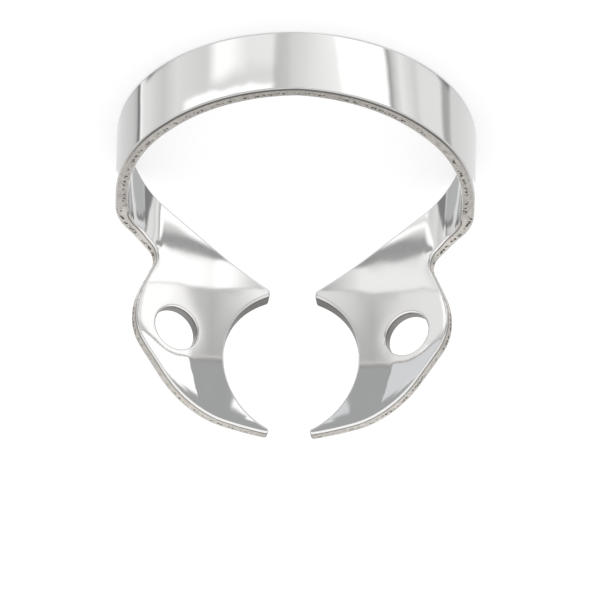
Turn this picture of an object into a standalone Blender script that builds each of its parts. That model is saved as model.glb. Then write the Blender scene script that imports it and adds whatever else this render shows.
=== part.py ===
"""Rubber dam clamp without wings: one strip of spring steel, an arched bow with two jaws.

The clamp is made the way the real one is. Half of the flat blank is drawn, pierced for the
forceps and ground for the tooth, and then it is bent: the bow into an arch, the leg into
the jaw, and the jaw down to its prongs. The half is laid on the rear rim of the bow, as the
clamp comes to rest, and mirrored, and every edge is tumbled round.

On the flat blank, s runs along the strip from the crown of the bow, v runs across it with
the rear side positive, and n is the height over the middle of the sheet, towards the
inside of the arch. Bent, the bow is an arch in X and Z, and v stays along Y.
"""

import bmesh
import bpy
from math import ceil, cos, pi, radians, sin, tan
from mathutils import Matrix, Vector

MM = 0.001

# The sheet and its edges
SHEET = 0.64 * MM
EDGE_ROUND = 0.10 * MM

# The bow, an arch of half a circle that widens to the front at its shoulders
BOW_OUTER_WIDTH = 17.2 * MM
CROWN_WIDTH = 3.3 * MM
SHOULDER_WIDTH = 3.57 * MM
SHOULDER_FROM_CROWN = 7.0 * MM

# The leg under the bow, and its bend into the jaw
LEG_LENGTH = 1.22 * MM
LEG_BEND_RADIUS = 3.2 * MM
LEG_BEND = radians(66.0)
JAW_PITCH = radians(9.0)

# The jaw: a flat land round the forceps hole, then a dip towards the tooth
LAND_LENGTH = 2.62 * MM
DIP_RADIUS = 12.0 * MM

# The jaw's outline: how far its corners lie beyond or before the start of the land, and
# how far in front of the strip's middle line
REAR_EDGE_SLOPE = radians(29.2)
REAR_EDGE_AT_LAND = 0.15 * MM
REAR_EDGE_RADIUS = 4.0 * MM
NECK_BEFORE_LAND = 1.4 * MM
NECK_FRONT = 1.70 * MM
NECK_RADIUS = 1.5 * MM
NOTCH_BEFORE_LAND = 0.08 * MM
NOTCH_FRONT = 2.38 * MM
NOTCH_RADIUS = 0.7 * MM
BULGE_BEFORE_LAND = 1.30 * MM
BULGE_TOP = 5.1 * MM
BULGE_TOP_RADIUS = 3.5 * MM
BULGE_BOTTOM = 6.75 * MM
BULGE_BOTTOM_RADIUS = 2.3 * MM
BELLY_BEYOND_LAND = 1.48 * MM
BELLY_FRONT = 10.17 * MM
BELLY_RADIUS = 4.7 * MM
PRONG_FRONT = 10.60 * MM
FRONT_PRONG_BEYOND_LAND = 5.72 * MM
REAR_PRONG_BEYOND_LAND = 5.62 * MM

# What the jaw is ground and pierced with
TOOTH_BEYOND_LAND = 7.17 * MM
TOOTH_FRONT = 6.78 * MM
TOOTH_RADIUS = 3.85 * MM
TOOTH_BEVEL = 0.2 * MM
TOOTH_STEP = radians(5.0)
HOLE_BEYOND_LAND = 0.83 * MM
HOLE_FRONT = 6.11 * MM
HOLE_DIAMETER = 2.2 * MM

# How finely the curves are drawn and the blank is cut for bending
ARC_STEP = radians(12.0)
BOW_STEP = radians(4.0)
BEND_STEP = 0.3 * MM
JAW_STEP = 0.9 * MM
RELIEF_MARGIN = 0.45 * MM
RELIEF_WIDTH = 0.5 * MM
RELIEF_CUTS = 4
OVERLAP = 0.4 * MM
SHORTEST_EDGE = 0.08 * MM
WELD = 0.001 * MM
SNAP = 0.01 * MM
MIRROR_SNAP = 0.005 * MM
FLAT_ANGLE = radians(1.0)
SHARP_ANGLE = radians(40.0)

bow_radius = (BOW_OUTER_WIDTH - SHEET) / 2
bow_end = bow_radius * pi / 2
leg_end = bow_end + LEG_LENGTH
land_start = leg_end + LEG_BEND * LEG_BEND_RADIUS
tooth_s = land_start + TOOTH_BEYOND_LAND
relief_v = -NECK_FRONT - RELIEF_MARGIN


def smooth_step(k):
    k = min(max(k, 0.0), 1.0)
    return k * k * (3.0 - 2.0 * k)


def rounded(corners):
    """The points of a closed outline of straight lines whose corners are arcs.

    An arc takes no more than half of the shorter line beside it.
    """
    points = []
    for i, (x, y, radius) in enumerate(corners):
        corner = Vector((x, y))
        before = Vector(corners[i - 1][:2]) - corner
        after = Vector(corners[(i + 1) % len(corners)][:2]) - corner
        turn = pi - before.angle(after)
        if radius == 0.0 or turn < 1e-6:
            points.append(corner)
            continue
        radius = min(radius, min(before.length, after.length) / 2 / tan(turn / 2))
        before.normalize()
        after.normalize()
        centre = corner + (before + after).normalized() * radius / cos(turn / 2)
        first = corner + before * radius * tan(turn / 2) - centre
        side = 1.0 if first.cross(corner - centre) > 0 else -1.0
        steps = max(2, ceil(turn / ARC_STEP))
        for k in range(steps + 1):
            points.append(centre + Matrix.Rotation(side * turn * k / steps, 2) @ first)
    return points


def blank_outline():
    """Half of the blank, up to a little over the crown, uncut on the tooth's side."""
    rear = CROWN_WIDTH / 2
    shoulder = rear - SHOULDER_WIDTH
    widening = (SHOULDER_WIDTH - CROWN_WIDTH) / SHOULDER_FROM_CROWN
    rear_turn = land_start - (rear - REAR_EDGE_AT_LAND) / tan(REAR_EDGE_SLOPE)
    rear_prong = REAR_EDGE_AT_LAND - REAR_PRONG_BEYOND_LAND * tan(REAR_EDGE_SLOPE)
    bulge = land_start - BULGE_BEFORE_LAND
    return rounded([
        (-OVERLAP, rear, 0.0),
        (rear_turn, rear, REAR_EDGE_RADIUS),
        (land_start + REAR_PRONG_BEYOND_LAND, rear_prong, 0.0),
        (land_start + REAR_PRONG_BEYOND_LAND, -TOOTH_FRONT, 0.0),
        (land_start + FRONT_PRONG_BEYOND_LAND, -TOOTH_FRONT, 0.0),
        (land_start + FRONT_PRONG_BEYOND_LAND, -PRONG_FRONT, 0.0),
        (land_start + BELLY_BEYOND_LAND, -BELLY_FRONT, BELLY_RADIUS),
        (bulge, -BULGE_BOTTOM, BULGE_BOTTOM_RADIUS),
        (bulge, -BULGE_TOP, BULGE_TOP_RADIUS),
        (land_start - NOTCH_BEFORE_LAND, -NOTCH_FRONT, NOTCH_RADIUS),
        (land_start - NECK_BEFORE_LAND, -NECK_FRONT, NECK_RADIUS),
        (bow_end, shoulder, 0.0),
        (SHOULDER_FROM_CROWN, shoulder, 0.0),
        (-OVERLAP, -rear + OVERLAP * widening, 0.0),
    ])


def profile(s):
    """The middle of the bent sheet at s, as x, z and the turn from the crown's direction."""
    runs = (
        (bow_end, 1.0 / bow_radius),
        (LEG_LENGTH, 0.0),
        (LEG_BEND * LEG_BEND_RADIUS, 1.0 / LEG_BEND_RADIUS),
        (LAND_LENGTH, 0.0),
        (tooth_s, 1.0 / DIP_RADIUS),
    )
    x, z, turn = 0.0, bow_radius, 0.0
    for length, curvature in runs:
        part = min(s, length)
        if curvature:
            new_turn = turn + part * curvature
            x += (sin(new_turn) - sin(turn)) / curvature
            z += (cos(new_turn) - cos(turn)) / curvature
            turn = new_turn
        else:
            x += part * cos(turn)
            z -= part * sin(turn)
        s -= part
        if s <= 0.0:
            break
    return x, z, turn


def middle(s, v):
    """A point of the middle surface. In front of the notch the jaw stays flat."""
    x, z, turn = profile(s)
    pitch = JAW_PITCH * smooth_step((s - bow_end) / (land_start - bow_end))
    if leg_end < s < land_start and v < relief_v:
        flat = smooth_step((relief_v - v) / RELIEF_WIDTH)
        land_x, land_z, land_turn = profile(land_start)
        x += flat * (land_x + (s - land_start) * cos(land_turn) - x)
        z += flat * (land_z - (s - land_start) * sin(land_turn) - z)
        pitch += flat * (JAW_PITCH - pitch)
    return Vector((x, v * cos(pitch), z + v * sin(pitch)))


def bent(flat):
    """Where a point of the flat blank goes when the blank is bent."""
    s, v, n = flat
    step = SNAP
    along = middle(s + step, v) - middle(s - step, v)
    across = middle(s, v + step) - middle(s, v - step)
    return middle(s, v) + n * across.cross(along).normalized()


def add_object(name, mesh, collection):
    thing = bpy.data.objects.new(name, mesh)
    collection.objects.link(thing)
    return thing


def applied(thing, weld):
    """The object's mesh with its modifiers and its curve made real, and welded."""
    bpy.context.view_layer.update()
    shape = thing.evaluated_get(bpy.context.evaluated_depsgraph_get())
    mesh = bpy.data.meshes.new_from_object(shape)
    bm = bmesh.new()
    bm.from_mesh(mesh)
    bmesh.ops.remove_doubles(bm, verts=bm.verts, dist=weld)
    bm.to_mesh(mesh)
    bm.free()
    return mesh


def flat_blank(collection):
    """The outline and the forceps hole, as a curve filled to the sheet's thickness."""
    curve = bpy.data.curves.new("blank_outline", "CURVE")
    curve.dimensions = "2D"
    curve.fill_mode = "BOTH"
    curve.extrude = SHEET / 2
    hole_steps = ceil(2 * pi / ARC_STEP)
    hole_radius = HOLE_DIAMETER / 2
    hole = [
        Vector((land_start + HOLE_BEYOND_LAND, -HOLE_FRONT))
        + Matrix.Rotation(2 * pi * k / hole_steps, 2) @ Vector((hole_radius, 0.0))
        for k in range(hole_steps)
    ]
    for points in (blank_outline(), hole):
        spline = curve.splines.new("POLY")
        spline.points.add(len(points) - 1)
        spline.use_cyclic_u = True
        for point, (x, y) in zip(spline.points, points):
            point.co = (x, y, 0.0, 1.0)
    outline = add_object("blank_outline", curve, collection)
    blank = add_object("blank", applied(outline, WELD), collection)
    bpy.data.objects.remove(outline)
    return blank


def tooth_grinder(collection):
    """The cone that grinds the jaw's edge to the tooth: a little narrower underneath."""
    bm = bmesh.new()
    bmesh.ops.create_cone(
        bm,
        cap_ends=True,
        segments=ceil(2 * pi / TOOTH_STEP),
        radius1=TOOTH_RADIUS - 1.5 * TOOTH_BEVEL,
        radius2=TOOTH_RADIUS + 0.5 * TOOTH_BEVEL,
        depth=2 * SHEET,
    )
    mesh = bpy.data.meshes.new("tooth_grinder")
    bm.to_mesh(mesh)
    bm.free()
    cone = add_object("tooth_grinder", mesh, collection)
    cone.location = (tooth_s, -TOOTH_FRONT, 0.0)
    cone.hide_render = True
    cone.display_type = "WIRE"
    return cone


def ground(blank, cone):
    """The blank after the tooth's side is ground."""
    cut = blank.modifiers.new("tooth", "BOOLEAN")
    cut.operation = "DIFFERENCE"
    cut.object = cone
    blank.data = applied(blank, SHORTEST_EDGE)
    blank.modifiers.clear()


def cut_for_bending(bm):
    """Cuts the blank across wherever it has to bend."""
    bow_steps = ceil(pi / 2 / BOW_STEP)
    stations = [bow_end * k / bow_steps for k in range(bow_steps)]
    bend_steps = ceil((land_start - bow_end) / BEND_STEP)
    stations += [bow_end + (land_start - bow_end) * k / bend_steps for k in range(bend_steps)]
    jaw_steps = ceil(TOOTH_BEYOND_LAND / JAW_STEP)
    stations += [land_start + TOOTH_BEYOND_LAND * k / jaw_steps for k in range(jaw_steps)]
    for s in stations:
        geom = bm.verts[:] + bm.edges[:] + bm.faces[:]
        bmesh.ops.bisect_plane(
            bm, geom=geom, dist=SNAP, plane_co=(s, 0, 0), plane_no=(-1, 0, 0),
            clear_outer=s == 0.0,
        )
    for k in range(RELIEF_CUTS + 1):
        v = relief_v - RELIEF_WIDTH * k / RELIEF_CUTS
        jaw = [face for face in bm.faces if face.calc_center_median().x > leg_end]
        verts = {vert for face in jaw for vert in face.verts}
        edges = {edge for face in jaw for edge in face.edges}
        geom = list(verts) + list(edges)
        bmesh.ops.bisect_plane(
            bm, geom=geom + jaw, dist=SNAP, plane_co=(0, v, 0), plane_no=(0, 1, 0),
        )


def bent_and_laid(blank):
    """Bends the half blank and lays it on its rear rim, crown to the back."""
    bm = bmesh.new()
    bm.from_mesh(blank.data)
    bmesh.ops.dissolve_limit(bm, angle_limit=FLAT_ANGLE, verts=bm.verts, edges=bm.edges)
    cut_for_bending(bm)
    bmesh.ops.remove_doubles(bm, verts=bm.verts, dist=SHORTEST_EDGE)
    for vert in bm.verts:
        vert.co = bent(vert.co)
    bmesh.ops.reverse_faces(bm, faces=bm.faces)
    bm.transform(Matrix.Rotation(-pi / 2, 4, "X"))
    low = min(vert.co.z for vert in bm.verts)
    depths = [vert.co.y for vert in bm.verts]
    bm.transform(Matrix.Translation((0.0, -(min(depths) + max(depths)) / 2, -low)))
    bm.to_mesh(blank.data)
    bm.free()


def steel():
    material = bpy.data.materials.new("polished_spring_steel")
    material.use_nodes = True
    shader = material.node_tree.nodes["Principled BSDF"]
    shader.inputs["Base Color"].default_value = (0.72, 0.71, 0.70, 1.0)
    shader.inputs["Metallic"].default_value = 1.0
    shader.inputs["Roughness"].default_value = 0.14
    return material


def main():
    for thing in list(bpy.data.objects):
        bpy.data.objects.remove(thing)
    part = bpy.data.collections.new("rubber_dam_clamp")
    cutters = bpy.data.collections.new("cutters")
    for collection in (part, cutters):
        bpy.context.scene.collection.children.link(collection)
    clamp = flat_blank(part)
    clamp.name = "rubber_dam_clamp"
    ground(clamp, tooth_grinder(cutters))
    bent_and_laid(clamp)
    clamp.data.materials.append(steel())
    mirror = clamp.modifiers.new("other_half", "MIRROR")
    mirror.merge_threshold = MIRROR_SNAP
    edges = clamp.modifiers.new("tumbled_edges", "BEVEL")
    edges.width = EDGE_ROUND
    edges.segments = 2
    edges.limit_method = "ANGLE"
    edges.angle_limit = SHARP_ANGLE
    edges.use_clamp_overlap = False
    clamp.data.shade_smooth()
    clamp.data.set_sharp_from_angle(angle=SHARP_ANGLE)


main()
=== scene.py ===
"""A wingless rubber dam clamp in polished spring steel, lying on its bow in a small studio."""

from math import ceil, cos, pi, radians, sin, tan

import bpy
import numpy as np
from bpy.props import FloatProperty, FloatVectorProperty, PointerProperty
from mathutils import Matrix, Vector


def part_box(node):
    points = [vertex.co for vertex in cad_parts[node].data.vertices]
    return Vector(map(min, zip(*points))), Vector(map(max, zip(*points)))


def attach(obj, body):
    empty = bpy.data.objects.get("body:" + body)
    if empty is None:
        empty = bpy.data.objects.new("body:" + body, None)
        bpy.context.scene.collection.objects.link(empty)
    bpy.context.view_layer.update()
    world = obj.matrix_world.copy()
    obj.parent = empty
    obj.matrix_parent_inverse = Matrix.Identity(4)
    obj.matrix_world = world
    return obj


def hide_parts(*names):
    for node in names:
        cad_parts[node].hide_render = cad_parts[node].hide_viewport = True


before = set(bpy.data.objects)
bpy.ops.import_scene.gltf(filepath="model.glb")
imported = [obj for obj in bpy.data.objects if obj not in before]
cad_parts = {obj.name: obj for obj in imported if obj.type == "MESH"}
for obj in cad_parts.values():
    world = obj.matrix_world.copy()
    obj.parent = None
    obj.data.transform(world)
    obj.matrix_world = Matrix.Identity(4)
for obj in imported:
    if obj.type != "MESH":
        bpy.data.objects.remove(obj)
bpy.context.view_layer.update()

bl_info = {
    "name": "Rubber Dam Clamp",
    "version": (1, 0, 0),
    "blender": (4, 5, 0),
    "location": "View3D > Sidebar > Dam Clamp",
    "description": "Models a wingless rubber dam clamp and a small studio for it",
    "category": "Object",
}

CLAMP_NODE = "rubber_dam_clamp"
MM = 0.001
TENT_MIDDLE = Vector((0.0, -0.3 * MM, 1.6 * MM))
WHITE = (1.0, 1.0, 1.0, 1.0)


def length(name, description, millimetres):
    return FloatProperty(
        name=name, description=description, default=millimetres * MM, unit="LENGTH",
        subtype="DISTANCE", precision=5,
    )


def angle(name, description, degrees):
    return FloatProperty(
        name=name, description=description, default=radians(degrees), unit="ROTATION",
        subtype="ANGLE",
    )


def colour(name, description, value):
    return FloatVectorProperty(
        name=name, description=description, default=value, subtype="COLOR", min=0.0, max=1.0,
    )


class ClampSizes(bpy.types.PropertyGroup):
    """The clamp's sheet, bow, leg and jaw"""

    sheet: length("Sheet", "Thickness of the spring steel", 0.64)
    edge_round: length("Edge round", "Radius to which every edge is tumbled", 0.10)
    bow_width: length("Bow width", "Outer width of the arch", 17.2)
    crown_width: length("Crown width", "Width of the strip at the crown", 3.3)
    shoulder_width: length("Shoulder width", "Width of the strip at the shoulders", 3.57)
    shoulder_from_crown: length("Shoulder", "From the crown to the shoulder along the strip", 7.0)
    leg_length: length("Leg length", "Straight leg between bow and jaw", 1.22)
    leg_bend_radius: length("Leg bend radius", "Radius of the bend from leg to jaw", 3.2)
    leg_bend: angle("Leg bend", "How far the leg turns in to the jaw", 66.0)
    jaw_pitch: angle("Jaw pitch", "How far the jaw leans against the bow", 9.0)
    land_length: length("Land length", "Flat land round the forceps hole", 2.62)
    dip_radius: length("Dip radius", "Curve of the jaw beyond its land", 12.0)
    hole: length("Forceps hole", "Diameter of the forceps hole", 2.2)
    tooth_radius: length("Tooth radius", "Radius to which the jaw is ground for the tooth", 3.85)
    tooth_bevel: length("Tooth bevel", "How much narrower the ground edge is underneath", 0.2)


class ClampFinish(bpy.types.PropertyGroup):
    """The steel's colours and polish"""

    face: colour("Polished face", "Colour of the polished faces", (0.80, 0.797, 0.792))
    rim: colour("Cut rim", "Colour of the ground and sheared rims", (0.50, 0.475, 0.445))
    wall: colour(
        "Ground wall", "Colour of the hole's and the tooth edge's walls", (0.30, 0.29, 0.28),
    )
    pit: colour("Pits", "Colour of the pits in the rims", (0.07, 0.065, 0.06))
    polish: FloatProperty(
        name="Polish", description="Roughness of the polished faces", default=0.04,
        min=0.0, max=1.0,
    )
    rim_roughness: FloatProperty(
        name="Rim roughness", description="Roughness of the cut rims", default=0.34,
        min=0.0, max=1.0,
    )
    bow_roll: angle(
        "Bow roll-off", "How far polishing rolls the bow's faces off at their edges", 0.5,
    )
    jaw_fall: angle("Jaw fall", "How far each jaw's outer part falls away below the hole", 5.5)
    jaw_roll: angle(
        "Jaw roll-off", "How far polishing rolls the jaws' faces off at their edges", 3.6,
    )


class StudioSettings(bpy.types.PropertyGroup):
    """The floor, the light tent and the camera"""

    floor: colour("Floor", "Colour of the floor", (0.66, 0.66, 0.66))
    floor_glow: FloatProperty(
        name="Floor glow", description="Light through the floor, which thins the shadow",
        default=0.45, min=0.0,
    )
    tent_radius: length("Tent radius", "From the clamp to the light tent's cloth", 30.0)
    camera_distance: length("Camera distance", "From the camera to the clamp", 1200.0)
    view_width: length("View width", "How much of the clamp's plane the picture spans", 28.708)
    camera_lean: angle("Camera lean", "How far the camera looks down", 35.0)
    camera_roll: angle("Camera roll", "How far the picture is turned", 1.5)
    aim_below: length("Aim below", "How far below the arch's middle the camera aims", 6.474)
    aim_aside: length("Aim aside", "How far beside the arch's middle the camera aims", 0.19)


class Bend:
    """Takes a point of the flat blank to its place on the bent clamp.

    On the blank, s runs along the strip from the crown, v across it with the rear side
    positive, and n is the height over the middle of the sheet, towards the inside.
    """

    probe = 0.01 * MM
    relief_margin = 0.45 * MM
    relief_width = 0.5 * MM
    neck_front = 1.70 * MM
    rear_slope = tan(radians(29.2))
    rear_at_land = 0.15 * MM

    def __init__(self, sizes):
        self.sizes = sizes
        self.bow_radius = (sizes.bow_width - sizes.sheet) / 2
        self.bow_end = self.bow_radius * pi / 2
        self.leg_end = self.bow_end + sizes.leg_length
        self.land_start = self.leg_end + sizes.leg_bend * sizes.leg_bend_radius
        self.relief_v = -self.neck_front - self.relief_margin
        self.hole = np.array([self.land_start + 0.83 * MM, -6.11 * MM])
        self.tooth = np.array([self.land_start + 7.17 * MM, -6.78 * MM])
        low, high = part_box(CLAMP_NODE)
        self.back = high[1] - sizes.bow_width / 2
        self.rise = sizes.crown_width / 2

    def profile(self, s):
        """Where the middle of the sheet runs in the arch's plane, and how far it has turned."""
        past_prongs = 1.0
        runs = (
            (self.bow_end, 1.0 / self.bow_radius),
            (self.sizes.leg_length, 0.0),
            (self.sizes.leg_bend * self.sizes.leg_bend_radius, 1.0 / self.sizes.leg_bend_radius),
            (self.sizes.land_length, 0.0),
            (past_prongs, 1.0 / self.sizes.dip_radius),
        )
        start = 0.0
        x = np.zeros_like(s)
        z = np.full_like(s, self.bow_radius)
        turn = np.zeros_like(s)
        for run, curvature in runs:
            part = np.clip(s - start, 0.0, run)
            if curvature:
                turned = turn + part * curvature
                x = x + (np.sin(turned) - np.sin(turn)) / curvature
                z = z + (np.cos(turned) - np.cos(turn)) / curvature
                turn = turned
            else:
                x = x + part * np.cos(turn)
                z = z - part * np.sin(turn)
            start += run
        return x, z, turn

    def middle(self, s, v):
        """The middle of the sheet, pitched, and flat beyond the notch where it leaves the bend."""
        x, z, _ = self.profile(s)
        pitch = self.sizes.jaw_pitch * smooth_step(
            (s - self.bow_end) / (self.land_start - self.bow_end)
        )
        land_x, land_z, land_turn = self.profile(np.full_like(s, self.land_start))
        flat = smooth_step((self.relief_v - v) / self.relief_width)
        flat = flat * ((s > self.leg_end) & (s < self.land_start))
        x = x + flat * (land_x + (s - self.land_start) * np.cos(land_turn) - x)
        z = z + flat * (land_z - (s - self.land_start) * np.sin(land_turn) - z)
        pitch = pitch + flat * (self.sizes.jaw_pitch - pitch)
        return np.stack([x, v * np.cos(pitch), z + v * np.sin(pitch)], 1)

    def sheet_normal(self, s, v):
        """Which way the sheet faces, towards the inside."""
        along = self.middle(s + self.probe, v) - self.middle(s - self.probe, v)
        across = self.middle(s, v + self.probe) - self.middle(s, v - self.probe)
        normal = np.cross(across, along)
        return normal / np.linalg.norm(normal, axis=1)[:, None]

    def point(self, s, v, n):
        """A point of the bent sheet at its height over the middle."""
        return self.middle(s, v) + n[:, None] * self.sheet_normal(s, v)

    def laid(self, vectors):
        """Turned from the arch's own directions to the way the clamp lies."""
        return np.stack([vectors[:, 0], vectors[:, 2], -vectors[:, 1]], 1)

    def bent(self, flat, normals):
        """The places and normals of the bent clamp for those of the flat blank."""
        side = np.where(flat[:, 0] < 0.0, -1.0, 1.0)
        s, v, n = np.abs(flat[:, 0]), flat[:, 1], flat[:, 2]
        places = self.laid(self.point(s, v, n))
        places[:, 0] *= side
        places += np.array([0.0, self.back, self.rise])
        step = self.probe
        along = (self.point(s + step, v, n) - self.point(s - step, v, n)) / (2 * step)
        across = (self.point(s, v + step, n) - self.point(s, v - step, n)) / (2 * step)
        up = self.sheet_normal(s, v)
        turned = (
            (normals[:, 0] * side)[:, None] * np.cross(across, up)
            + normals[:, 1][:, None] * np.cross(up, along)
            + normals[:, 2][:, None] * np.cross(along, across)
        )
        turned = -self.laid(turned / np.linalg.norm(turned, axis=1)[:, None])
        turned[:, 0] *= side
        return places, turned


def smooth_step(k):
    """0 up to 0, 1 from 1 on, and a soft step between."""
    k = np.clip(k, 0.0, 1.0)
    return k * k * (3.0 - 2.0 * k)


def rounded(corners, arc_step):
    """The points of a closed outline of straight lines whose corners are arcs."""
    points = []
    for i, (x, y, radius) in enumerate(corners):
        corner = Vector((x, y))
        before = Vector(corners[i - 1][:2]) - corner
        after = Vector(corners[(i + 1) % len(corners)][:2]) - corner
        turn = pi - before.angle(after)
        if radius == 0.0 or turn < 1e-6:
            points.append(corner)
            continue
        radius = min(radius, min(before.length, after.length) / 2 / tan(turn / 2))
        before.normalize()
        after.normalize()
        centre = corner + (before + after).normalized() * radius / cos(turn / 2)
        first = corner + before * radius * tan(turn / 2) - centre
        side = 1.0 if first.cross(corner - centre) > 0 else -1.0
        steps = max(2, ceil(turn / arc_step))
        for k in range(steps + 1):
            points.append(centre + Matrix.Rotation(side * turn * k / steps, 2) @ first)
    return points


def blank_outline(sizes, bend):
    """Half of the flat blank, from a little over the crown to the prongs.

    Each corner has its place along and across the strip, and the radius of its arc.
    """
    rear = sizes.crown_width / 2
    shoulder = rear - sizes.shoulder_width
    over = 0.4 * MM
    widening = (sizes.shoulder_width - sizes.crown_width) / sizes.shoulder_from_crown
    land = bend.land_start
    rear_prong = land + 5.62 * MM
    front_prong = land + 5.72 * MM
    taper_start = land - (rear - bend.rear_at_land) / bend.rear_slope
    rear_tip = bend.rear_at_land - (rear_prong - land) * bend.rear_slope
    rear_edge = [
        (-over, rear, 0.0), (taper_start, rear, 4.0 * MM), (rear_prong, rear_tip, 0.20 * MM),
    ]
    tooth_side = [(rear_prong, bend.tooth[1], 0.0), (front_prong, bend.tooth[1], 0.0)]
    belly = [(front_prong, -10.60 * MM, 0.15 * MM), (land + 1.48 * MM, -10.17 * MM, 4.7 * MM)]
    bulge = [
        (land - 1.30 * MM, -6.75 * MM, 2.3 * MM), (land - 1.30 * MM, -5.1 * MM, 3.5 * MM),
    ]
    notch = [
        (land - 0.08 * MM, -2.38 * MM, 0.7 * MM),
        (land - 1.4 * MM, -bend.neck_front, 1.5 * MM),
    ]
    front_edge = [
        (bend.bow_end, shoulder, 0.0), (sizes.shoulder_from_crown, shoulder, 0.0),
        (-over, -rear + over * widening, 0.0),
    ]
    corners = rear_edge + tooth_side + belly + bulge + notch + front_edge
    return rounded(corners, arc_step=radians(4.0))


def deselect_all():
    if bpy.context.object and bpy.context.object.mode != "OBJECT":
        bpy.ops.object.mode_set(mode="OBJECT")
    bpy.ops.object.select_all(action="DESELECT")


def apply_modifier(piece, modifier):
    bpy.context.view_layer.objects.active = piece
    bpy.ops.object.modifier_apply(modifier=modifier.name)


def flat_blank(sizes, bend):
    """A disc of as many corners as the outline, pulled to the outline and thickened."""
    points = blank_outline(sizes, bend)
    deselect_all()
    bpy.ops.mesh.primitive_circle_add(vertices=len(points), radius=1 * MM, fill_type="NGON")
    blank = bpy.context.object
    blank.name = "clamp_body"
    for vert, (x, y) in zip(blank.data.vertices, points):
        vert.co = (x, y, -sizes.sheet / 2)
    bpy.ops.object.mode_set(mode="EDIT")
    bpy.ops.mesh.select_all(action="SELECT")
    bpy.ops.mesh.extrude_region_move(TRANSFORM_OT_translate={"value": (0, 0, sizes.sheet)})
    bpy.ops.mesh.select_all(action="SELECT")
    bpy.ops.mesh.normals_make_consistent(inside=False)
    bpy.ops.object.mode_set(mode="OBJECT")
    return blank


def pierced_and_ground(blank, sizes, bend):
    """The blank with its forceps hole and its edge ground for the tooth."""
    deselect_all()
    bpy.ops.mesh.primitive_cylinder_add(
        vertices=96, radius=sizes.hole / 2, depth=4 * sizes.sheet,
        location=(*bend.hole, 0.0),
    )
    punch = bpy.context.object
    bpy.ops.mesh.primitive_cone_add(
        vertices=120, radius1=sizes.tooth_radius - 1.5 * sizes.tooth_bevel,
        radius2=sizes.tooth_radius + 0.5 * sizes.tooth_bevel, depth=2 * sizes.sheet,
        location=(*bend.tooth, 0.0), rotation=(0.0, 0.0, radians(2.35)),
    )
    grinder = bpy.context.object
    for tool in (punch, grinder):
        cut = blank.modifiers.new("cut", "BOOLEAN")
        cut.operation = "DIFFERENCE"
        cut.object = tool
        apply_modifier(blank, cut)
        bpy.data.objects.remove(tool)


def tumbled(blank, sizes):
    """Rounds every edge of the flat blank."""
    deselect_all()
    bpy.context.view_layer.objects.active = blank
    bpy.ops.object.mode_set(mode="EDIT")
    bpy.ops.mesh.select_all(action="SELECT")
    bpy.ops.mesh.remove_doubles(threshold=0.02 * MM)
    bpy.ops.mesh.dissolve_limited(angle_limit=radians(0.3))
    bpy.ops.object.mode_set(mode="OBJECT")
    edges = blank.modifiers.new("tumbled", "BEVEL")
    edges.width = sizes.edge_round
    edges.segments = 5
    edges.limit_method = "ANGLE"
    edges.angle_limit = radians(40.0)
    edges.use_clamp_overlap = False
    apply_modifier(blank, edges)


def cut_at(place, direction, clear=False):
    """Cuts the mesh along a plane, and can clear what is past it."""
    bpy.ops.mesh.select_all(action="SELECT")
    bpy.ops.mesh.bisect(
        plane_co=place, plane_no=direction, threshold=0.0005 * MM, clear_outer=clear,
    )


def cut_across(blank, bend):
    """Cuts the blank finely wherever it has to bend, and clears what is past the crown."""
    deselect_all()
    bpy.context.view_layer.objects.active = blank
    past_prongs = bend.land_start + 6.3 * MM
    spans = (
        (0.0, bend.bow_end, 0.26 * MM),
        (bend.bow_end, bend.leg_end, 0.25 * MM),
        (bend.leg_end, bend.land_start, 0.07 * MM),
        (bend.land_start, past_prongs, 0.25 * MM),
    )
    stations = []
    for start, stop, pitch in spans:
        steps = ceil((stop - start) / pitch)
        stations += [start + (stop - start) * k / steps for k in range(steps)]
    rear_row, row_pitch, rows = 1.5, 0.25, 48
    bpy.ops.object.mode_set(mode="EDIT")
    for s in stations:
        cut_at((s, 0, 0), (-1, 0, 0), clear=s == 0.0)
    for k in range(rows):
        cut_at((0, rear_row * MM - k * row_pitch * MM, 0), (0, 1, 0))
    bpy.ops.object.mode_set(mode="OBJECT")


def both_halves(blank):
    """The half blank and its mirror image, joined at the crown."""
    mirror = blank.modifiers.new("other_half", "MIRROR")
    mirror.merge_threshold = 0.002 * MM
    apply_modifier(blank, mirror)


def edge_points(sizes, bend, step):
    """Points close together along every edge of half the flat blank, and past the crown."""
    corners = np.array([tuple(point) for point in blank_outline(sizes, bend)])
    points = []
    for first, second in zip(corners, np.roll(corners, -1, axis=0)):
        steps = ceil(np.linalg.norm(second - first) / step)
        points += [first + (second - first) * k / steps for k in range(steps)]
    points = np.array(points)
    from_tooth = np.linalg.norm(points - bend.tooth, axis=1)
    points = points[(points[:, 0] > 0.0) & (from_tooth > sizes.tooth_radius)]
    prong_ends = bend.land_start + 5.7 * MM
    for centre, radius in ((bend.hole, sizes.hole / 2), (bend.tooth, sizes.tooth_radius)):
        turns = np.arange(0.0, 2 * pi, step / radius)
        ring = centre + radius * np.stack([np.cos(turns), np.sin(turns)], 1)
        points = np.concatenate([points, ring[ring[:, 0] < prong_ends]])
    crown_reach = 2 * MM
    near_crown = points[points[:, 0] < crown_reach] * np.array([-1.0, 1.0])
    return np.concatenate([points, near_crown])


def outer_part(places, bend):
    """1 on the jaw's outer part below the hole, 0 elsewhere, and a soft step between."""
    hole_end, line_at_hole, line_slope, line_width = 7.3 * MM, 1.43 * MM, 0.3, 0.35 * MM
    top_over, top_width = 0.7 * MM, 0.5 * MM
    from_land = places[:, 0] - bend.land_start
    below = -places[:, 1] - hole_end
    outside = smooth_step((line_at_hole + line_slope * below - from_land) / line_width + 0.5)
    return outside * smooth_step((below + top_over) / top_width)


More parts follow.
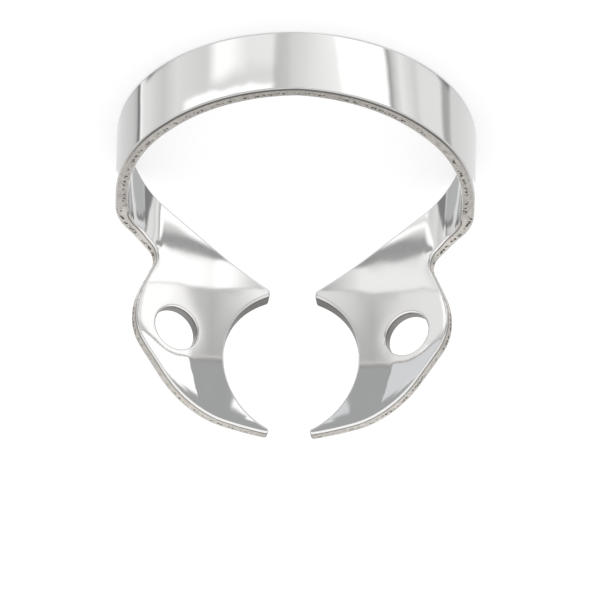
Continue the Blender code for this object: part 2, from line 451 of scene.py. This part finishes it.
def roll_off(flat, sizes, bend, finish):
    """How far each point's normal leans to the edges near it, as polishing leaves it."""
    step, reach, closest, batch = 0.05 * MM, 0.42 * MM, 0.08 * MM, 2000
    rear_share, ground_share = 0.3, 0.45
    edges = edge_points(sizes, bend, step)
    places = np.stack([np.abs(flat[:, 0]), flat[:, 1]], 1)
    rear_line = bend.rear_at_land - (edges[:, 0] - bend.land_start) * bend.rear_slope
    rear = (edges[:, 0] > bend.bow_end) & (edges[:, 1] > rear_line - 0.1 * MM)
    ground = np.linalg.norm(edges - bend.tooth, axis=1) < sizes.tooth_radius + 0.01 * MM
    share = np.where(rear, rear_share, np.where(ground, ground_share, 1.0))
    lean = np.zeros_like(places)
    for start in range(0, len(places), batch):
        some = slice(start, start + batch)
        apart = edges[None, :, :] - places[some, None, :]
        far = (apart ** 2).sum(2)
        weight = np.exp(-far / reach ** 2) / (far + closest ** 2) * share
        lean[some] = (apart * weight[:, :, None]).sum(1) * step / pi
    jaw = smooth_step((places[:, 0] - bend.leg_end) / (bend.land_start - bend.leg_end))
    lean *= (finish.bow_roll + jaw * (finish.jaw_roll - finish.bow_roll))[:, None]
    lean[:, 0] -= finish.jaw_fall * (outer_part(places, bend) * jaw)
    lean[:, 0] *= np.sign(flat[:, 0])
    return lean


def vectors(rows, name):
    """One vector of each of a mesh's vertices, as an array."""
    values = np.empty(len(rows) * 3)
    rows.foreach_get(name, values)
    return values.reshape(-1, 3)


def bent_to_shape(blank, bend, sizes, finish):
    """Bends the flat blank, and carries its rounded edges' own normals round the bends."""
    mesh = blank.data
    flat = vectors(mesh.vertices, "co")
    out = vectors(mesh.vertex_normals, "vector")
    half = sizes.sheet / 2
    height = np.clip((np.abs(flat[:, 2]) - half + sizes.edge_round) / sizes.edge_round, 0.0, 1.0)
    almost_flat = 0.995
    height[height > almost_flat] = 1.0
    sideways = out[:, :2] / np.maximum(np.linalg.norm(out[:, :2], axis=1), 1e-9)[:, None]
    level = np.sqrt(1.0 - height ** 2)
    lean = roll_off(flat, sizes, bend, finish)
    normals = np.stack([
        sideways[:, 0] * level + lean[:, 0], sideways[:, 1] * level + lean[:, 1],
        np.sign(flat[:, 2]) * height,
    ], 1)
    places, turned = bend.bent(flat, normals)
    mesh.attributes.new("blank", "FLOAT_VECTOR", "POINT").data.foreach_set(
        "vector", (flat / MM).astype(np.float32).ravel()
    )
    mesh.attributes.new("rim", "FLOAT", "POINT").data.foreach_set(
        "value", (1.0 - height).astype(np.float32)
    )
    mesh.vertices.foreach_set("co", places.ravel())
    mesh.update()
    bpy.ops.object.mode_set(mode="EDIT")
    bpy.ops.mesh.select_all(action="SELECT")
    bpy.ops.mesh.normals_make_consistent(inside=False)
    bpy.ops.object.mode_set(mode="OBJECT")
    bpy.ops.object.shade_smooth()
    mesh.normals_split_custom_set_from_vertices([tuple(normal) for normal in turned])


class Maths:
    """A node socket on which sums are written as Python expressions."""

    def __init__(self, tree, socket):
        self.tree = tree
        self.socket = socket

    def node(self, kind, settings=None, inputs=None, output=0):
        made = self.tree.nodes.new(kind)
        for name, value in (settings or {}).items():
            if name == "stops":
                ramp = made.color_ramp
                while len(ramp.elements) < len(value):
                    ramp.elements.new(0.5)
                for element, (place, shade) in zip(ramp.elements, value):
                    element.position = place
                    element.color = shade
            else:
                setattr(made, name, value)
        for name, value in (inputs or {}).items():
            target = made.inputs[name]
            if isinstance(value, Maths):
                self.tree.links.new(value.socket, target)
            else:
                target.default_value = value
        return Maths(self.tree, made.outputs[output])

    def maths(self, operation, *values):
        return self.node("ShaderNodeMath", {"operation": operation}, dict(enumerate(values)))

    def noise(self, scale, detail):
        """Smooth noise that reads this place."""
        return self.node(
            "ShaderNodeTexNoise", inputs={"Vector": self, "Scale": scale, "Detail": detail},
        )

    def numbers(self):
        """The three numbers of this vector."""
        return [
            self.node("ShaderNodeSeparateXYZ", inputs={"Vector": self}, output=k)
            for k in range(3)
        ]

    def __add__(self, other):
        return self.maths("ADD", self, other)

    def __radd__(self, other):
        return self.maths("ADD", other, self)

    def __sub__(self, other):
        return self.maths("SUBTRACT", self, other)

    def __rsub__(self, other):
        return self.maths("SUBTRACT", other, self)

    def __mul__(self, other):
        return self.maths("MULTIPLY", self, other)

    def __rmul__(self, other):
        return self.maths("MULTIPLY", other, self)

    def smooth(self, low, high):
        """0 below low, 1 above high, and a soft step between."""
        return self.node(
            "ShaderNodeMapRange", {"interpolation_type": "SMOOTHSTEP"},
            {0: self, 1: low, 2: high, 3: 0.0, 4: 1.0},
        )

    def band(self, low, high, soft):
        """1 between low and high, with soft edges, and 0 outside."""
        return self.smooth(low - soft, low + soft) * (1.0 - self.smooth(high - soft, high + soft))

    def mix(self, first, second):
        """Two colours mixed by this value."""
        return self.node(
            "ShaderNodeMix", {"data_type": "RGBA"}, {0: self, 6: first, 7: second}, output=2,
        )


def new_material(name):
    material = bpy.data.materials.new(name)
    material.use_nodes = True
    return material


def opaque(colour_value, shade=1.0):
    """A colour, made darker or lighter if asked, with nothing seen through it."""
    return (*(shade * part for part in colour_value[:3]), 1.0)


def polished_steel(finish, bend):
    """Bright polished faces with a faint wave, and duller rims with small dark pits.

    The blank's own measures, in millimetres, tell the ground walls of the hole and the tooth
    edge from the sheared rims, and lay the rims' dark line and their torn strip. On the bow the
    dark line runs on over the rounded edge, as painted shade that hides the edge's highlight, and
    the jaws' rims are painted lighter than the bow's, as painted light.
    """
    material = new_material("polished_spring_steel")
    tree = material.node_tree
    shader = tree.nodes["Principled BSDF"]
    start = Maths(tree, None)
    place = start.node("ShaderNodeTexCoord", output=3)
    rim = start.node("ShaderNodeAttribute", {"attribute_name": "rim"}, output=2)
    on_rim = rim.smooth(0.35, 0.95)
    blank = start.node("ShaderNodeAttribute", {"attribute_name": "blank"}, output=1)
    along, across, over = blank.numbers()
    along = start.maths("ABSOLUTE", along)
    leg_end = bend.leg_end / MM
    jaw = along.smooth(leg_end - 1.0, leg_end + 1.0)
    polished_side = over * (jaw * 2.0 - 1.0)

    def round_wall(centre, reach):
        """1 on the wall ground round a centre of the blank, and 0 elsewhere."""
        off_along, off_across = along - centre[0] / MM, across - centre[1] / MM
        off = start.maths("SQRT", off_along * off_along + off_across * off_across)
        return (1.0 - off.smooth(reach - 0.03, reach + 0.03)) * on_rim

    wall = round_wall(bend.hole, 1.3) + round_wall(bend.tooth, 4.1)
    wave, grain = place.noise(210.0, 2.0), place.noise(5200.0, 4.0)
    pits = start.node(
        "ShaderNodeTexVoronoi", {"feature": "F1"}, {"Vector": place, "Scale": 6200.0},
    )
    by_leg = along.band(8.5, 17.0, 1.5)
    torn = start.maths("MAXIMUM", wave.smooth(0.35, 0.5), by_leg) * (1.0 - wall)
    torn = torn * polished_side.band(-0.15, -0.02, 0.04)
    torn_pits = (1.0 - (pits - by_leg * 0.08).smooth(0.32, 0.44)) * on_rim * torn
    stray_pits = (1.0 - pits.smooth(0.08, 0.2)) * on_rim * grain.smooth(0.5, 0.6) * (1.0 - wall)
    pitted = start.maths("MAXIMUM", torn_pits, stray_pits)
    mottle = grain.smooth(0.3, 0.7)
    # The rims share one colour, mottled by their grain. The jaws' copy is painted lighter than the
    # bow's, as painted light.
    bow_rim = mottle.mix(opaque(finish.rim, 0.85), opaque(finish.rim, 1.1))
    jaw_rim_painted_lighter = mottle.mix(opaque(finish.rim, 1.15), opaque(finish.rim, 1.45))
    rim_shade = wall.mix(jaw.mix(bow_rim, jaw_rim_painted_lighter), opaque(finish.wall))
    # A dark line along the rims beside the polished faces. On the bow it runs on over the rounded
    # edge, from 0.22 to 0.29 mm, and that part is painted shade that hides the edge's highlight.
    bow_dark_line_and_painted_shade = polished_side.band(0.17, 0.29, 0.02) * (1.0 - along.smooth(7.5, 12.0))
    jaw_line = polished_side.band(0.17, 0.225, 0.02) * jaw
    dark_rim_line = (bow_dark_line_and_painted_shade + jaw_line) * rim.smooth(0.1, 0.4)
    base = on_rim.mix(opaque(finish.face), rim_shade)
    base = (dark_rim_line * 0.85).mix(base, opaque(finish.pit))
    base = pitted.mix(base, opaque(finish.pit))
    tree.links.new(base.socket, shader.inputs["Base Color"])
    rough = finish.polish + 0.03 * grain + on_rim * (finish.rim_roughness - finish.polish)
    tree.links.new(rough.socket, shader.inputs["Roughness"])
    shader.inputs["Metallic"].default_value = 1.0
    wave_height, grain_height, pit_depth = 0.02 * MM, 0.004 * MM, 4.0
    height = wave * wave_height + (grain - pitted * pit_depth) * on_rim * grain_height
    bump = start.node(
        "ShaderNodeBump", inputs={"Strength": 1.0, "Distance": 1.0, "Height": height},
    )
    tree.links.new(bump.socket, shader.inputs["Normal"])
    return material


class CLAMP_OT_body(bpy.types.Operator):
    """Model the clamp: blank, hole, ground tooth edge, bends and tumbled edges"""

    bl_idname = "dam_clamp.body"
    bl_label = "Clamp"

    def execute(self, context):
        sizes = context.scene.clamp_sizes
        bend = Bend(sizes)
        blank = flat_blank(sizes, bend)
        pierced_and_ground(blank, sizes, bend)
        tumbled(blank, sizes)
        cut_across(blank, bend)
        both_halves(blank)
        bent_to_shape(blank, bend, sizes, context.scene.clamp_finish)
        blank.data.materials.clear()
        blank.data.materials.append(polished_steel(context.scene.clamp_finish, bend))
        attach(blank, "root")
        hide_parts(CLAMP_NODE)
        return {"FINISHED"}


def studio_world(scene):
    """White to the camera, and a plain soft light on the floor."""
    world = bpy.data.worlds.new("studio")
    scene.world = world
    world.use_nodes = True
    background = world.node_tree.nodes["Background"]
    background.inputs["Color"].default_value = WHITE
    background.inputs["Strength"].default_value = 1.0


def only_reflected(thing, reflected):
    """Shows a stage piece in reflections alone, or in all but reflections."""
    thing.visible_camera = not reflected
    thing.visible_diffuse = not reflected
    thing.visible_shadow = not reflected
    thing.visible_transmission = not reflected
    thing.visible_glossy = reflected


def studio_floor(studio):
    """A plain pale floor, just below the clamp."""
    width, clearance = 0.6, 0.00002
    deselect_all()
    bpy.ops.mesh.primitive_plane_add(size=width, location=(0.0, 0.0, -clearance))
    floor = bpy.context.object
    floor.name = "studio_floor"
    material = new_material("pale_floor")
    tree = material.node_tree
    shader = tree.nodes["Principled BSDF"]
    shader.inputs["Base Color"].default_value = opaque(studio.floor)
    shader.inputs["Roughness"].default_value = 1.0
    shader.inputs["Specular IOR Level"].default_value = 0.0
    shader.inputs["Emission Color"].default_value = WHITE
    shader.inputs["Emission Strength"].default_value = studio.floor_glow
    floor.data.materials.append(material)
    only_reflected(floor, False)


def tone(level, cool=0.0):
    """The light that a spot on the tent gives, for a tone from 0 to 255 in the steel."""
    light = (level / 255.0) ** 2.2 / 0.8
    return (light * (1.0 - cool), light, light * (1.0 + cool), 1.0)


def round_tent(azimuth, rows):
    """Light that changes round the tent, for rows of an angle in degrees and its tone."""
    stops = [((degrees + 180.0) / 360.0, tone(level)) for degrees, level in rows]
    return azimuth.node(
        "ShaderNodeValToRGB", {"stops": stops}, {"Fac": azimuth * (1.0 / 360.0) + 0.5},
    )


def plain_cards(height, rows):
    """Cards of one tone that hang between two heights and two angles round the tent.

    A row has the lower and upper edge and how soft they are, the angle that is read, the
    first and last angle and how soft they are, and the tone.
    """
    return [
        (height.band(low, high, soft) * turn.band(first, last, fade), shade)
        for low, high, soft, turn, first, last, fade, shade in rows
    ]


def bare_tent(height, azimuth, aside):
    """The cloth's bright and dark folds, and the dome over it with its backdrop."""
    tilted = azimuth - azimuth.smooth(5.0, 20.0) * (height + 26.5) * 0.9
    cloth = round_tent(tilted, (
        (-180, 212), (-140, 208), (-116, 196), (-109.5, 178), (-107.5, 110), (-105.2, 130),
        (-104.2, 245), (-101, 224), (-82, 198), (-72, 218), (-56, 208),
        (-15, 215), (-12.5, 188), (-6, 196), (-3, 208), (10, 228), (20, 240),
        (22, 262), (50, 262), (51.2, 130), (54, 190), (60, 230), (70, 205),
        (74, 220), (91, 222), (95, 160), (100, 166), (104, 206), (130, 212), (180, 215),
    ))
    dome = height.smooth(-8.0, 70.0).mix(tone(196), tone(248))
    backdrop = height.band(36.0, 56.0, 3.0) * aside.smooth(166.0, 176.0)
    return height.smooth(-14.0, -6.0).mix(cloth, backdrop.mix(dome, tone(95)))


def bow_cards(height, azimuth, aside):
    """What the bow shows besides: a patch, a crescent, a veil, two cards and a stand."""
    patch = height.band(-40.0, -25.7, 0.8) * azimuth.band(-49.0, -12.6, 3.5)
    patch = patch * (0.95 - 0.6 * azimuth.smooth(-40.0, -26.0))
    crescent = (height + aside.smooth(20.0, 70.0) * 1.2).band(-24.0, -21.0, 0.12)
    crescent = crescent * azimuth.band(-66.0, -14.0, 3.0)
    left_shade = azimuth.smooth(43.5, 47.5).mix(tone(266), tone(240))
    left_shade = azimuth.smooth(20.0, 43.0).mix(tone(185), left_shade)
    right_shade = azimuth.smooth(-43.0, -22.0).mix(tone(236), tone(172))
    return [(patch, tone(258)), (crescent, tone(262))] + plain_cards(height, (
        (-23.2, -22.4, 0.12, aside, 30.0, 62.0, 3.0, tone(212)),
        (-20.4, -13.0, 0.25, azimuth, 12.0, 72.0, 2.0, left_shade),
        (-20.6, -13.0, 0.25, azimuth, -72.0, -12.0, 2.0, right_shade),
        (-22.6, -20.3, 0.15, aside, 33.0, 62.0, 3.0, tone(145)),
    ))


def side_card(height, azimuth, aside):
    """Paler cloth at both sides and behind, which the bends from leg to jaw show."""
    cover = (height + aside.smooth(125.0, 160.0) * 5.0).band(-26.6, -16.0, 0.4)
    cover = cover * (1.0 - aside.band(-109.0, 109.0, 2.0))
    return [(cover, round_tent(azimuth, (
        (-180, 285), (-150, 285), (-138, 262), (-128, 226), (-116, 200), (-110, 190),
        (110, 190), (116, 200), (128, 228), (140, 244), (155, 250), (180, 250),
    )))]


def jaw_cards(height, azimuth, aside):
    """What the lower jaws show: a grey screen, paler by the tooth, with gaps at its foot."""
    return plain_cards(height, (
        (-12.8, 12.0, 0.3, aside, 3.0, 60.0, 4.0, tone(158, 0.012)),
        (-16.0, 5.0, 0.5, aside, 49.0, 84.0, 0.8, tone(190, 0.01)),
        (-12.8, -5.0, 0.3, azimuth, 18.0, 38.5, 0.6, tone(262)),
        (-12.8, -3.4, 0.4, azimuth, 3.0, 31.0, 0.8, tone(262)),
        (-12.8, -3.4, 0.4, azimuth, -31.0, -3.0, 0.8, tone(216, 0.02)),
        (-12.8, -5.0, 0.3, azimuth, -38.5, -18.0, 0.6, tone(208, 0.02)),
    ))


def leg_cards(height, aside):
    """What the legs show: grey below a sloping line, a dark corner, and the line's dark seam."""
    over_line = height + 31.4 + (aside - 85.0) * 0.07
    leg_grey = (1.0 - over_line.smooth(-1.2, -0.6)) * aside.smooth(95.0, 105.0)
    corner = plain_cards(height, ((-37.0, -31.2, 0.4, aside, 70.0, 98.0, 3.0, tone(125)),))
    seam = plain_cards(over_line, ((-0.8, 0.2, 0.3, aside, 75.0, 135.0, 5.0, tone(125)),))
    return [(leg_grey, tone(174, 0.01))] + corner + seam


def studio_tent(studio):
    """A small light tent that only the steel sees: pale cloth with cards, a screen and stands.

    Heights and angles on the tent are in degrees, seen from its middle.
    """
    deselect_all()
    bpy.ops.mesh.primitive_uv_sphere_add(segments=96, ring_count=48, radius=studio.tent_radius)
    tent = bpy.context.object
    tent.name = "light_tent"
    for vert in tent.data.vertices:
        vert.co += TENT_MIDDLE
    bpy.ops.object.shade_smooth()
    material = new_material("tent_cloth")
    tree = material.node_tree
    tree.nodes.remove(tree.nodes["Principled BSDF"])
    start = Maths(tree, None)
    spot = start.node("ShaderNodeTexCoord", output=3)
    waves = spot.noise(190.0, 1.0) - 0.5
    x, y, z = spot.numbers()
    azimuth = start.maths("ARCTAN2", x, y - TENT_MIDDLE.y) * (180.0 / pi) + waves * 4.0
    height = start.maths("ARCSINE", (z - TENT_MIDDLE.z) * (1.0 / studio.tent_radius))
    height = height * (180.0 / pi) + waves * 1.2
    aside = start.maths("ABSOLUTE", azimuth)
    light = bare_tent(height, azimuth, aside)
    cards = bow_cards(height, azimuth, aside) + side_card(height, azimuth, aside)
    cards += jaw_cards(height, azimuth, aside) + leg_cards(height, aside)
    for cover, shade in cards:
        light = cover.mix(light, shade)
    glow = start.node("ShaderNodeEmission", inputs={"Color": light, "Strength": 1.0})
    tree.links.new(glow.socket, tree.nodes["Material Output"].inputs["Surface"])
    tent.data.materials.append(material)
    only_reflected(tent, True)


def camera(scene, studio):
    """Looks at the clamp from the side of its crown, upside down and a little turned."""
    lean = studio.camera_lean
    towards = Vector((0.0, cos(lean), sin(lean)))
    up = Vector((0.0, sin(lean), -cos(lean)))
    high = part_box(CLAMP_NODE)[1]
    sizes = scene.clamp_sizes
    arch = Vector((0.0, high[1] - sizes.bow_width / 2, sizes.crown_width / 2))
    aim = arch - up * studio.aim_below + Vector((studio.aim_aside, 0.0, 0.0))
    bpy.ops.object.camera_add(
        location=aim + towards * studio.camera_distance, rotation=(lean - pi / 2, 0.0, 0.0),
    )
    taker = bpy.context.object
    swing = Matrix.Rotation(studio.camera_roll, 4, towards)
    taker.matrix_world = (
        Matrix.Translation(arch) @ swing @ Matrix.Translation(-arch) @ taker.matrix_world
    )
    taker.data.lens = taker.data.sensor_width * studio.camera_distance / studio.view_width
    taker.data.clip_start = 0.01
    scene.camera = taker


class CLAMP_OT_studio(bpy.types.Operator):
    """Add the pale floor, the soft light and the camera"""

    bl_idname = "dam_clamp.studio"
    bl_label = "Studio"

    def execute(self, context):
        scene = context.scene
        studio = scene.clamp_studio
        studio_world(scene)
        studio_floor(studio)
        studio_tent(studio)
        camera(scene, studio)
        scene.view_settings.view_transform = "Standard"
        return {"FINISHED"}


class CLAMP_PT_panel(bpy.types.Panel):
    """The clamp's sizes, its finish and the studio"""

    bl_label = "Dam Clamp"
    bl_space_type = "VIEW_3D"
    bl_region_type = "UI"
    bl_category = "Dam Clamp"

    def draw(self, context):
        scene = context.scene
        for group in (scene.clamp_sizes, scene.clamp_finish, scene.clamp_studio):
            box = self.layout.box()
            for name in group.bl_rna.properties.keys():
                if name not in {"rna_type", "name"}:
                    box.prop(group, name)
        self.layout.operator("dam_clamp.body")
        self.layout.operator("dam_clamp.studio")


CLASSES = (
    ClampSizes, ClampFinish, StudioSettings, CLAMP_OT_body, CLAMP_OT_studio, CLAMP_PT_panel,
)


def register():
    for cls in CLASSES:
        bpy.utils.register_class(cls)
    bpy.types.Scene.clamp_sizes = PointerProperty(type=ClampSizes)
    bpy.types.Scene.clamp_finish = PointerProperty(type=ClampFinish)
    bpy.types.Scene.clamp_studio = PointerProperty(type=StudioSettings)


def unregister():
    del bpy.types.Scene.clamp_studio
    del bpy.types.Scene.clamp_finish
    del bpy.types.Scene.clamp_sizes
    for cls in reversed(CLASSES):
        bpy.utils.unregister_class(cls)


def main():
    register()
    bpy.ops.dam_clamp.body()
    bpy.ops.dam_clamp.studio()


if __name__ == "__main__":
    main()
